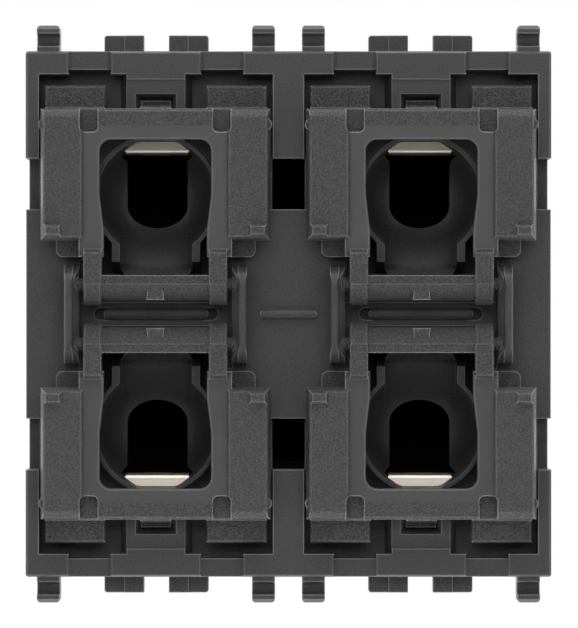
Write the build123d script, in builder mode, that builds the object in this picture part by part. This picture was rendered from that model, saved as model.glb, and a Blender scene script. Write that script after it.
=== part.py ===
from build123d import *
from math import atan2, degrees, radians, tan
import os

# Bare mechanism of a flush-mounting pushbutton switch: two modules side by side, each with an
# upper and a lower pushbutton lever that rocks on pins in the middle of the module.
#
# Every piece is drawn in millimetres as the switch is seen from the front: x to the right, y up
# and z towards the viewer, with z = 0 at the front of the clip strips. The drawings are stood
# upright at the end, so that the switch faces -Y with +Z up.

# Modules and body
module_pitch = 22.6
module_count = 2
side_trim = 0.2
side_wall = 1.13
body_height = 44.8
body_corner = 0.25
strip_edge = 0.16
skirt_depth = 9.5
plate_depth = 4.4

# Levels of the front frame behind the clip strips
panel_depth = 1.2
trough_depth = 1.5
floor_depth = 3.2
notch_depth = 3.0
channel_depth = 0.4

# Outline of the front frame's features, measured up from the middle
panel_reach = 8.93
notch_end = 13.26
bay_end = 20.44
side_step = 0.2
window_width = 2.8
channel_width = 3.1
channel_slope = 40.0
channel_offset = 5.64
channel_end = 20.83
channel_pocket_width = 3.6

# Hook posts at the outer end of each bay
post_width = 4.98
post_flare = 0.55
post_inner = 16.45
post_line = 19.98
post_step = 0.12
hook_slot_lead = 0.38
hook_slot_lead_depth = 0.9
hook_slot_play = 0.75
lip_thickness = 1.3
lip_cover = 0.7

# Hinge of each lever
hinge_y = 2.55
hinge_z = 1.0
pin_radius = 0.55
pin_clearance = 0.05
pin_length = 0.95
pin_end_clearance = 0.15

# Hinge cheeks of the front frame
cheek_inner = 6.49
cheek_ledge_width = 0.5
cheek_ridge_width = 0.78
cheek_ledge_top = 1.85
cheek_lead_top = 1.2
cheek_ridge_top = 2.2
cheek_reach = 4.2
cheek_end_radius = 1.8
cheek_ridge_round = 0.36

# Beads across the middle
trough_reach = 4.6
trough_bead_length = 8.96
trough_bead_width = 1.0
trough_bead_height = 0.55
trough_slot_length = 10.54
trough_slot_depth = 0.8
middle_bead_length = 4.84
middle_bead_width = 0.84
middle_bead_height = 0.6
bead_round = 0.4
trough_step_reach = 1.02
trough_step_height = 0.12

# Clip teeth along the top and the bottom
tall_tooth_inset = 2.13
tall_tooth_width = 1.95
tall_tooth_height = 2.2
tall_tooth_depth = 3.6
tall_tooth_corner = 0.3
tall_tooth_root_height = 0.43
tall_tooth_root_front = 0.3
tall_tooth_recess = 1.1
tall_tooth_nose = 0.68
tall_tooth_nose_front = 0.05
tall_tooth_nose_bevel = 0.3
tall_tooth_slope = 0.15
tall_tooth_back_bevel = 0.6
tooth_embed = 0.5
wide_tooth_offset = 2.76
wide_tooth_width = 3.38
wide_tooth_height = 1.44
wide_tooth_front = 2.3
wide_tooth_depth = 2.6
wide_tooth_step = 0.2
wide_tooth_bevel = 0.15

# Lever: levels in front of the clip strips
wing_front = 3.0
frame_front = 2.2
lever_back = 1.1
square_height = 0.4
notch_floor = 1.7
foot_front = -0.2
foot_thickness = 0.8
bridge_back = 1.55

# Lever: outline, measured from the middle of the module
bay_clearance = 0.2
lever_end = 17.45
wing_inner = 5.95
wing_bottom = 6.25
wing_draft = 8.0
wing_end_bevel = 0.36
bridge_edge = 0.22
wing_edge = 0.1
window_edge = 0.1
frame_half_width = 6.5
frame_bottom = 4.85
window_half_width = 4.74
window_end = 14.83
window_corner = 1.0
window_bend = 10.1
window_neck_y = 7.1
window_neck_half_width = 4.38
corner_notch_inner = 4.9
corner_notch_width = 1.5
corner_notch_bottom = 15.46
corner_notch_length = 4.0
corner_notch_round = 0.4
square_width = 1.62
square_length = 1.15
square_draft = 25.0
foot_inner = 4.33
foot_inset = 0.34
foot_end = 19.47
foot_edge = 0.15
foot_side_edge = 0.12
end_ledge = 17.6
end_ledge_front = 0.6
end_ledge_bevel = 0.17
end_wall_inner = 16.4
relief_half_width = 2.7
relief_overrun = 0.5
nub_y = 16.07
nub_radius = 0.5
nub_reach = 0.14
nub_front = 2.5
nub_length = 1.0

# Lever: arms, hinge bar and tabs
arm_inner = 4.55
arm_outer = 6.1
arm_end = 5.44
arm_bevel = 0.3
arm_edge = 0.14
seam_height = 0.07
knuckle_radius = 1.8
bar_radius = 1.4
bar_top = 3.3
peg_half_width = 0.6
peg_flare = 0.16
peg_bottom = 1.2
peg_drop = 0.1
under_tab_inner = 6.45
under_tab_outer = 8.5
under_tab_front = 0.4
under_tab_thickness = 0.8
under_tab_neck = 6.55
under_tab_root = 8.0
under_tab_corner = 0.6

# Lever: hook, which is also the plunger on the contact blade
hook_half_width = 1.3
hook_side_clearance = 0.1
hook_leg_inner = 16.65
hook_leg_thickness = 0.93
hook_root_bevel = 0.28
hook_clearance = 0.1
hook_nose_reach = 0.5
hook_nose_thickness = 0.7
hook_groove_width = 0.12
hook_ridge_width = 0.5
hook_ridge_height = 0.7
hook_ridge_clearance = 0.23
plunger_clearance = 0.05

# Lamp cups
cup_y = 9.95
cup_rim = 0.5
cup_outer_radius = 5.4
cup_rim_width = 0.35
cup_clearance = 0.1
cup_depth = 7.6
bowl_floor_radius = 2.75
bowl_floor = 6.6
rib_half_width = 3.77
rib_wall = 0.7
rib_end = 3.5
rib_slope_start = 4.45
tongue_half_width = 3.0
tongue_end = 3.25
tongue_corner = 0.7
scoop_foot = 7.0
scoop_crease = 4.6
scoop_crease_level = 4.6
scoop_end_level = 4.3
scoop_round = 1.5
keyhole_half_width = 4.9
flange_width = 0.4
flange_thickness = 0.8
lamp_slot_half_width = 2.6
lamp_slot_y = 9.35
lamp_slot_round = 1.95
lamp_slot_end = 13.73
lamp_slot_depth = 17.5
lamp_slot_flare = 0.5
lamp_slot_flare_length = 0.63
tube_wall = 0.8
tube_floor = 1.0

# Lamp contacts
lamp_contact_thickness = 0.35
lamp_lip_half_width = 2.87
lamp_lip_side = 0.15
lamp_lip_end_half_width = 1.55
lamp_lip_end = 14.82
lamp_lip_front = 4.7
lamp_lip_bend = 0.3
lamp_tail_half_width = 2.8
lamp_tail_end = 7.4
lamp_groove_clearance = 0.05
lamp_foot_half_width = 1.2
lamp_foot_end = 16.8

# Contacts
blade_width = 1.8
blade_thickness = 0.25
blade_front = 6.0
blade_root_gap = 0.3
contact_radius = 0.8
contact_height = 0.4
contact_gap = 0.9
contact_margin = 0.2
strip_thickness = 0.8
strip_width = 3.0
strip_foot_inner = 15.0
common_length = 6.0

# Terminals
terminal_outset = 2.2
block_width = 5.2
block_inner = 13.9
block_outer = 18.8
block_depth = 8.0
wire_radius = 1.6
wire_inset = 2.4
wire_length = 4.0
screw_radius = 1.45
screw_clearance = 0.05
screw_tip_gap = 0.1
screw_head_radius = 2.4
screw_head_height = 1.5
screw_slot_width = 0.7
screw_slot_depth = 0.7

# Rear housing
housing_back = 28.5
housing_wall = 1.4
housing_back_wall = 1.6
housing_clearance = 0.16
housing_corner = 1.2
wire_hole_radius = 1.9
screw_hole_radius = 2.6
rib_thickness = 0.8
rib_clearance = 0.1
channel_wall = 0.7
channel_wall_reach = 13.0
channel_wall_front = 4.6
catch_y = 15.5
catch_width = 3.0
catch_front = 5.6
catch_length = 1.8
catch_height = 0.8
catch_land = 0.3
catch_clearance = 0.2

# Sizes that follow from the fits
body_width = module_count * module_pitch - 2 * side_trim
bay_width = body_width - module_pitch - 2 * side_wall
lever_half_width = bay_width / 2 - bay_clearance
foot_outer = lever_half_width - foot_inset
tall_tooth_offset = module_pitch / 2 - tall_tooth_inset
terminal_spacing = module_pitch / 2 + terminal_outset
end_wall = body_height / 2 - bay_end
arm_front = hinge_z + knuckle_radius
wing_inset = (wing_front - lever_back) * tan(radians(wing_draft))
cup_inner_radius = cup_outer_radius - cup_rim_width
cup_hole_radius = cup_outer_radius + cup_clearance
keyhole_end = tongue_end - cup_clearance
lip_back = post_step + lip_thickness
hook_leg_outer = hook_leg_inner + hook_leg_thickness
hook_ridge_inner = hook_leg_outer + hook_groove_width
hook_ridge_outer = hook_ridge_inner + hook_ridge_width
hook_slot_inner = hook_leg_inner - hook_slot_play
hook_slot_outer = hook_ridge_outer + hook_ridge_clearance
hook_slot_width = 2 * (hook_half_width + hook_side_clearance)
blade_y = (hook_leg_inner + hook_leg_outer) / 2
strip_outer = blade_y + blade_width / 2
fixed_contact_front = blade_front + blade_thickness + contact_height + contact_gap
fixed_plate_front = fixed_contact_front + contact_height
block_back = housing_back - housing_back_wall
block_front = block_back - block_depth
wire_z = block_front + wire_inset
screw_y = (block_inner + block_outer) / 2
terminal_x = (-terminal_spacing, 0, terminal_spacing)


def quarters(y):
    """The four places at height y above and below the middle of each module."""
    return GridLocations(module_pitch, 2 * y, 2, 2)


def place(part, x, row):
    """Stand a piece upright at x, in the upper row (1) or turned round into the lower row (-1)."""
    seat = Plane(origin=(x, 0, 0), x_dir=(row, 0, 0), z_dir=(0, -1, 0))
    return seat.location * part


def save(part, name):
    part.label = name
    export_step(part, f"parts/{name}.step")


# Pair of hinge cheeks of one module: a sloping lead-in over the pin holes and a rounded ridge
with BuildPart() as cheeks:
    with BuildSketch(Plane.YZ.offset(cheek_inner + cheek_ledge_width)):
        with Locations((0, (cheek_ridge_top - plate_depth / 2) / 2)):
            Rectangle(2 * cheek_reach, cheek_ridge_top + plate_depth / 2)
        fillet(vertices().group_by(Axis.Z)[-1], cheek_end_radius)
    extrude(amount=cheek_ridge_width)
    with BuildSketch(Plane.XZ):
        with Locations((cheek_inner + cheek_ledge_width + cheek_ridge_width / 2, 0)):
            Rectangle(cheek_ridge_width, 2 * cheek_ridge_top)
        fillet(vertices().group_by(Axis.Y)[-1], cheek_ridge_round)
    extrude(amount=cheek_reach, both=True, mode=Mode.INTERSECT)
    with BuildSketch(Plane.YZ.offset(cheek_inner)):
        with Locations((0, (cheek_ledge_top - plate_depth / 2) / 2)):
            Rectangle(2 * cheek_reach, cheek_ledge_top + plate_depth / 2)
        fillet(vertices().group_by(Axis.Z)[-1], cheek_end_radius)
    extrude(amount=cheek_ledge_width + cheek_ridge_round)
    with BuildSketch(Plane.XZ):
        with BuildLine():
            Polyline(
                (cheek_inner, cheek_lead_top),
                (cheek_inner + cheek_ledge_width, cheek_ledge_top),
                (cheek_inner, cheek_ledge_top),
                close=True,
            )
        make_face()
    extrude(amount=cheek_reach, both=True, mode=Mode.SUBTRACT)
    with BuildSketch(Plane.YZ.offset(cheek_inner)):
        with Locations((hinge_y, hinge_z), (-hinge_y, hinge_z)):
            Circle(pin_radius + pin_clearance)
    extrude(amount=pin_length, mode=Mode.SUBTRACT)
    mirror(about=Plane.YZ)


def make_bead(length, width, height, depth):
    """Bead with a rounded back and rounded ends, standing on a floor at the given depth."""
    with BuildPart() as bead:
        with BuildSketch(Plane.XY.offset(-depth)):
            SlotOverall(length, width)
        extrude(amount=height)
        with BuildSketch(Plane.YZ.offset(-length / 2)):
            with Locations((0, -depth)):
                Rectangle(width, 2 * height)
            fillet(vertices().group_by(Axis.Z)[-1], bead_round)
        extrude(amount=length, mode=Mode.INTERSECT)
    return bead.part


trough_bead = make_bead(
    trough_bead_length,
    trough_bead_width,
    trough_slot_depth + trough_bead_height,
    trough_slot_depth + trough_depth,
)
middle_bead = make_bead(middle_bead_length, middle_bead_width, middle_bead_height, panel_depth)

# Clip teeth of one module: hooked tall teeth at its corners, wide stepped teeth between them
body_top = body_height / 2
tooth_root = body_top - tooth_embed
tooth_top = body_top + tall_tooth_height
recess_low = body_top + tall_tooth_root_height
recess_high = tooth_top - tall_tooth_nose
with BuildPart() as teeth:
    with BuildSketch(Plane.YZ.offset(tall_tooth_offset - tall_tooth_width / 2)):
        with BuildLine():
            Polyline(
                (tooth_root, -tall_tooth_root_front),
                (recess_low, -tall_tooth_root_front),
                (recess_low + tall_tooth_slope, -tall_tooth_recess),
                (recess_high - tall_tooth_slope, -tall_tooth_recess),
                (recess_high, -tall_tooth_nose_front),
                (tooth_top - tall_tooth_nose_bevel, -tall_tooth_nose_front),
                (tooth_top, -tall_tooth_nose_front - tall_tooth_nose_bevel),
                (tooth_top, tall_tooth_back_bevel - tall_tooth_depth),
                (tooth_top - tall_tooth_back_bevel, -tall_tooth_depth),
                (tooth_root, -tall_tooth_depth),
                close=True,
            )
        make_face()
    extrude(amount=tall_tooth_width)
    fillet(edges().filter_by(Axis.Z).group_by(Axis.Y)[-1], tall_tooth_corner)
    wide_height = wide_tooth_height + tooth_embed
    wide_y = tooth_root + wide_height / 2
    with BuildSketch(Plane.XY.offset(-wide_tooth_front - wide_tooth_depth)):
        with Locations((wide_tooth_offset, wide_y)):
            Rectangle(wide_tooth_width, wide_height)
        chamfer(vertices().group_by(Axis.Y)[-1].sort_by(Axis.X)[-1], wide_tooth_bevel)
    extrude(amount=wide_tooth_depth - wide_tooth_step)
    with BuildSketch(Plane.XY.offset(-wide_tooth_front - wide_tooth_step)):
        with Locations((wide_tooth_offset - wide_tooth_width / 4, wide_y)):
            Rectangle(wide_tooth_width / 2, wide_height)
    extrude(amount=wide_tooth_step)
    mirror(about=Plane.YZ)
    mirror(about=Plane.XZ)

# Front frame: square body with clip strips, lever bays, hook posts and the middle panel
with BuildPart() as front_frame:
    with BuildSketch(Plane.XY.offset(-skirt_depth)):
        RectangleRounded(body_width, body_height, body_corner)
    extrude(amount=skirt_depth)
    chamfer(faces().sort_by(Axis.Z)[-1].edges(), length=strip_edge)
    with BuildSketch(Plane.XY.offset(-skirt_depth)):
        Rectangle(body_width - 2 * side_wall, body_height - 2 * end_wall)
    extrude(amount=skirt_depth - plate_depth, mode=Mode.SUBTRACT)

    # Middle panel, set back from the strips
    with BuildSketch(Plane.XY.offset(-panel_depth)):
        Rectangle(body_width, 2 * panel_reach)
    extrude(amount=panel_depth, mode=Mode.SUBTRACT)

    # Lever bays, each around its hook post with drafted sides
    with BuildSketch(Plane.XY.offset(-floor_depth)):
        with quarters((panel_reach + bay_end) / 2):
            Rectangle(bay_width, bay_end - panel_reach)
    extrude(amount=floor_depth, mode=Mode.SUBTRACT)
    with BuildSketch(Plane.XY.offset(-floor_depth)):
        with quarters((post_inner + bay_end) / 2):
            Rectangle(post_width + 2 * post_flare, bay_end - post_inner + 2 * post_flare)
    extrude(amount=floor_depth, taper=degrees(atan2(post_flare, floor_depth)))
    with BuildSketch(Plane.XY.offset(-post_step)):
        with quarters((post_inner + post_line) / 2):
            Rectangle(post_width, post_line - post_inner)
    extrude(amount=post_step, mode=Mode.SUBTRACT)

    # Hook slots with sloping mouths, undercut behind the lip of the post
    with BuildSketch(Plane.XY.offset(-plate_depth)):
        with quarters((hook_slot_inner + hook_slot_outer) / 2):
            Rectangle(hook_slot_width, hook_slot_outer - hook_slot_inner)
    extrude(amount=plate_depth, mode=Mode.SUBTRACT)
    with BuildSketch(Plane.XY.offset(-hook_slot_lead_depth)):
        with quarters((hook_slot_inner + hook_slot_outer) / 2):
            Rectangle(hook_slot_width, hook_slot_outer - hook_slot_inner)
    lead_taper = degrees(atan2(hook_slot_lead, hook_slot_lead_depth))
    extrude(amount=hook_slot_lead_depth, taper=-lead_taper, mode=Mode.SUBTRACT)
    with BuildSketch(Plane.XY.offset(-plate_depth)):
        with quarters(hook_slot_outer):
            Rectangle(hook_slot_width, 2 * lip_cover)
    extrude(amount=plate_depth - lip_back, mode=Mode.SUBTRACT)

    # Notches in the side strips, and the open windows between the modules
    notch_y = (panel_reach + notch_end) / 2
    notch_length = notch_end - panel_reach
    with BuildSketch(Plane.XY.offset(-notch_depth)):
        with GridLocations(body_width - side_wall, 2 * notch_y, 2, 2):
            Rectangle(side_wall, notch_length)
    extrude(amount=notch_depth, mode=Mode.SUBTRACT)
    with BuildSketch(Plane.XY.offset(-skirt_depth)):
        with GridLocations(body_width, 2 * notch_y, 2, 2):
            Rectangle(2 * side_step, notch_length)
    extrude(amount=skirt_depth, mode=Mode.SUBTRACT)
    with BuildSketch(Plane.XY.offset(-plate_depth)):
        with Locations((0, notch_y), (0, -notch_y)):
            Rectangle(window_width, notch_length)
    extrude(amount=plate_depth, mode=Mode.SUBTRACT)

    # Shallow channels with sloping sides across the strips
    with BuildSketch(Plane.XY.offset(-channel_depth)):
        with quarters((channel_end + body_height / 2) / 2):
            with GridLocations(2 * channel_offset, 1, 2, 1):
                Rectangle(channel_width, body_height / 2 - channel_end)
    extrude(amount=channel_depth, taper=-channel_slope, mode=Mode.SUBTRACT)
    with BuildSketch(Plane.XY.offset(-floor_depth)):
        with quarters((channel_end + bay_end) / 2):
            with GridLocations(2 * channel_offset, 1, 2, 1):
                Rectangle(channel_pocket_width, channel_end - bay_end)
    extrude(amount=floor_depth, mode=Mode.SUBTRACT)

    # Keyhole openings for the lamp cups, and the trough between the cheeks with its bead slot
    with BuildSketch(Plane.XY.offset(-plate_depth)):
        with quarters(cup_y):
            Circle(cup_hole_radius)
        with quarters((keyhole_end + cup_y) / 2):
            Rectangle(2 * keyhole_half_width, cup_y - keyhole_end)
    extrude(amount=plate_depth, mode=Mode.SUBTRACT)
    with BuildSketch(Plane.XY.offset(-trough_depth)):
        with GridLocations(module_pitch, 1, 2, 1):
            Rectangle(2 * cheek_inner, 2 * trough_reach)
    extrude(amount=trough_depth, mode=Mode.SUBTRACT)
    with BuildSketch(Plane.XY.offset(-trough_depth)):
        with GridLocations(module_pitch, 1, 2, 1):
            Rectangle(2 * cheek_inner, 2 * trough_step_reach)
    extrude(amount=trough_step_height)
    with BuildSketch(Plane.XY.offset(-trough_depth - trough_slot_depth)):
        with GridLocations(module_pitch, 1, 2, 1):
            SlotOverall(trough_slot_length, trough_bead_width)
    extrude(amount=trough_slot_depth + trough_step_height, mode=Mode.SUBTRACT)

    # Hinge cheeks, beads and teeth
    with GridLocations(module_pitch, 1, 2, 1):
        add(cheeks.part)
        add(teeth.part)
    with GridLocations(module_pitch, 1, 2, 1):
        add(trough_bead)
    add(middle_bead)

    # Windows in the skirt for the catches of the rear housing
    catch_z = catch_front + catch_length / 2
    with BuildSketch(Plane.YZ.offset(-body_width / 2)):
        with Locations((catch_y, -catch_z), (-catch_y, -catch_z)):
            Rectangle(catch_width + 2 * catch_clearance, catch_length + 2 * catch_clearance)
    extrude(amount=body_width, mode=Mode.SUBTRACT)

# Raised wing of a lever: drafted walls, bevelled outer end and a square pip at its inner corner
with BuildPart() as wing:
    with BuildSketch(Plane.XY.offset(lever_back)):
        with Locations(((wing_inner + lever_half_width) / 2, (wing_bottom + lever_end) / 2)):
            Rectangle(lever_half_width - wing_inner, lever_end - wing_bottom)
    extrude(amount=wing_front - lever_back, taper=wing_draft)
    wing_end = edges().filter_by(Axis.X).group_by(Axis.Z)[-1].sort_by(Axis.Y)[-1]
    chamfer(wing_end, wing_end_bevel)
    chamfer(faces().sort_by(Axis.Z)[-1].edges(), wing_edge)
    square_x = lever_half_width - wing_inset - square_width / 2
    square_y = wing_bottom + wing_inset + square_length / 2
    with BuildSketch(Plane.XY.offset(wing_front - wing_edge)):
        with Locations((square_x, square_y)):
            Rectangle(square_width, square_length)
    extrude(amount=wing_edge + square_height, taper=square_draft)
    with BuildSketch(Plane.XY.offset(nub_front - nub_length)):
        with Locations((lever_half_width + nub_reach - nub_radius, nub_y)):
            Circle(nub_radius)
    extrude(amount=nub_length)

# Foot tab of a lever, which slips under the strip, with the bevelled ledge above it
foot_back = foot_front - foot_thickness
with BuildPart() as foot:
    with BuildSketch(Plane.YZ.offset(foot_inner)):
        with BuildLine():
            Polyline(
                (end_wall_inner, end_ledge_front),
                (end_ledge - end_ledge_bevel, end_ledge_front),
                (end_ledge, end_ledge_front - end_ledge_bevel),
                (end_ledge, foot_front),
                (foot_end - foot_edge, foot_front),
                (foot_end, foot_front - foot_edge),
                (foot_end, foot_back),
                (end_wall_inner, foot_back),
                close=True,
            )
        make_face()
    extrude(amount=foot_outer - foot_inner)
    foot_face = faces().filter_by(Axis.Z).group_by(Axis.Z)[1]
    chamfer(foot_face.edges().filter_by(Axis.Y), foot_side_edge)

# Arm of a lever: flat front, round knuckle below the seam, bevelled root under the frame
seam_y = hinge_y + seam_height
with BuildPart() as arm:
    with BuildSketch(Plane.YZ.offset(arm_inner)):
        with BuildLine():
            ThreePointArc(
                (hinge_y, arm_front),
                (hinge_y - knuckle_radius, hinge_z),
                (hinge_y, hinge_z - knuckle_radius),
            )
            Polyline(
                (hinge_y, hinge_z - knuckle_radius),
                (arm_end + arm_bevel, lever_back),
                (arm_end + arm_bevel, frame_front - arm_bevel),
                (arm_end - arm_bevel, arm_front),
                (hinge_y, arm_front),
            )
        make_face()
    extrude(amount=arm_outer - arm_inner)
    arm_sides = faces().group_by(Axis.X)[0] + faces().group_by(Axis.X)[-1]
    chamfer(arm_sides.edges().filter_by_position(Axis.Y, 0, arm_end - arm_bevel), arm_edge)
    with BuildSketch(Plane.YZ.offset(arm_inner)):
        with BuildLine():
            Polyline(
                (hinge_y, arm_front),
                (seam_y, arm_front - seam_height),
                (arm_end, arm_front - seam_height),
                (arm_end, arm_front),
                close=True,
            )
        make_face()
    extrude(amount=arm_outer - arm_inner, mode=Mode.SUBTRACT)

# Outline of the window in a lever, right half
with BuildSketch() as window:
    with BuildLine():
        Polyline(
            (0, hinge_y),
            (window_neck_half_width, hinge_y),
            (window_neck_half_width, window_neck_y),
            (window_half_width, window_bend),
            (window_half_width, window_end),
            (0, window_end),
            close=True,
        )
    make_face()
    fillet(vertices().group_by(Axis.Y)[-1].sort_by(Axis.X)[-1], window_corner)

# Pushbutton lever: its right half is drawn and mirrored about the middle of the module
with BuildPart() as lever:
    # Window frame, lower than the wings
    with BuildSketch(Plane.XY.offset(lever_back)):
        with Locations((frame_half_width / 2, (frame_bottom + lever_end) / 2)):
            Rectangle(frame_half_width, lever_end - frame_bottom)
    extrude(amount=frame_front - lever_back)
    bridge_top = edges().filter_by(Axis.X).group_by(Axis.Z)[-1].sort_by(Axis.Y)[-1]
    chamfer(bridge_top, bridge_edge)

    add(wing.part)

    # Window, corner notch and the relief that clears the hook post
    with BuildSketch(Plane.XY.offset(lever_back)):
        add(window.sketch)
    extrude(amount=wing_front, mode=Mode.SUBTRACT)
    with BuildSketch(Plane.XY.offset(frame_front - window_edge)):
        add(window.sketch)
    extrude(amount=window_edge, taper=-45, mode=Mode.SUBTRACT)
    with BuildSketch(Plane.XY.offset(notch_floor)):
        notch_y = corner_notch_bottom + corner_notch_length / 2
        with Locations((corner_notch_inner + corner_notch_width / 2, notch_y)):
            RectangleRounded(corner_notch_width, corner_notch_length, corner_notch_round)
    extrude(amount=wing_front, mode=Mode.SUBTRACT)
    with BuildSketch(Plane.XY.offset(lever_back)):
        with Locations((relief_half_width / 2, (end_wall_inner + lever_end) / 2)):
            Rectangle(relief_half_width, lever_end - end_wall_inner + 2 * relief_overrun)
    extrude(amount=bridge_back - lever_back, mode=Mode.SUBTRACT)

    # End wall and foot tab
    with BuildSketch(Plane.XY.offset(foot_back)):
        with Locations(((foot_inner + foot_outer) / 2, (end_wall_inner + lever_end) / 2)):
            Rectangle(foot_outer - foot_inner, lever_end - end_wall_inner)
    extrude(amount=lever_back - foot_back)
    add(foot.part)

    # Tab under the lower corner of the wing
    with BuildSketch(Plane.XY.offset(under_tab_front - under_tab_thickness)):
        with Locations(((under_tab_inner + under_tab_outer) / 2, (frame_bottom + under_tab_root) / 2)):
            Rectangle(under_tab_outer - under_tab_inner, under_tab_root - frame_bottom)
        fillet(vertices().group_by(Axis.Y)[0].sort_by(Axis.X)[-1], under_tab_corner)
    extrude(amount=under_tab_thickness)
    with BuildSketch(Plane.XY.offset(under_tab_front)):
        with Locations(((under_tab_inner + under_tab_outer) / 2, (under_tab_neck + under_tab_root) / 2)):
            Rectangle(under_tab_outer - under_tab_inner, under_tab_root - under_tab_neck)
    extrude(amount=lever_back - under_tab_front)

    # Hinge bar, arm, pivot pin and peg
    with BuildSketch(Plane.YZ):
        with BuildLine():
            ThreePointArc(
                (hinge_y, hinge_z + bar_radius),
                (hinge_y - bar_radius, hinge_z),
                (hinge_y, hinge_z - bar_radius),
            )
            Polyline(
                (hinge_y, hinge_z - bar_radius),
                (bar_top, hinge_z - bar_radius),
                (bar_top, hinge_z + bar_radius - seam_height),
                (seam_y, hinge_z + bar_radius - seam_height),
                (hinge_y, hinge_z + bar_radius),
            )
        make_face()
    extrude(amount=(arm_inner + arm_outer) / 2)
    add(arm.part)
    with BuildSketch(Plane.YZ.offset(arm_outer)):
        with Locations((hinge_y, hinge_z)):
            Circle(pin_radius)
    extrude(amount=cheek_inner - arm_outer + pin_length - pin_end_clearance)
    with BuildSketch(Plane.XY.offset(hinge_z)):
        with BuildLine():
            Polyline(
                (0, hinge_y),
                (peg_half_width, hinge_y),
                (peg_half_width + peg_flare, peg_bottom),
                (0, peg_bottom),
                close=True,
            )
        make_face()
    extrude(amount=bar_radius - peg_drop)

    # Hook through the post, with the plunger behind it
    nose_top = -lip_back - hook_clearance
    nose_tip = hook_slot_outer + hook_nose_reach
    ridge_top = nose_top + hook_ridge_height
    root_front = frame_front - window_edge
    with BuildSketch(Plane.YZ):
        with BuildLine():
            Polyline(
                (end_wall_inner, bridge_back),
                (end_wall_inner, root_front),
                (hook_leg_outer - hook_root_bevel, root_front),
                (hook_leg_outer, root_front - hook_root_bevel),
                (hook_leg_outer, nose_top),
                (hook_ridge_inner, nose_top),
                (hook_ridge_inner, ridge_top),
                (hook_ridge_outer, ridge_top),
                (hook_ridge_outer, nose_top),
                (nose_tip, nose_top),
                (nose_tip, nose_top - hook_nose_thickness / 2),
                (hook_ridge_outer, nose_top - hook_nose_thickness),
                (hook_leg_outer, nose_top - 2 * hook_nose_thickness),
                (hook_leg_outer, plunger_clearance - blade_front),
                (hook_leg_inner, plunger_clearance - blade_front),
                (hook_leg_inner, bridge_back),
                close=True,
            )
        make_face()
    extrude(amount=hook_half_width)
    mirror(about=Plane.YZ)

def lip_outline(margin):
    """Outline of the lamp contact's lip, narrowing outwards, with a margin around it."""
    with BuildSketch() as outline:
        with BuildLine():
            Polyline(
                (-lamp_lip_half_width - margin, lamp_slot_end),
                (lamp_lip_half_width + margin, lamp_slot_end),
                (lamp_lip_half_width + margin, lamp_slot_end + lamp_lip_side + margin),
                (lamp_lip_end_half_width + margin, lamp_lip_end + margin),
                (-lamp_lip_end_half_width - margin, lamp_lip_end + margin),
                (-lamp_lip_half_width - margin, lamp_slot_end + lamp_lip_side + margin),
                close=True,
            )
        make_face()
    return outline.sketch


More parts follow.
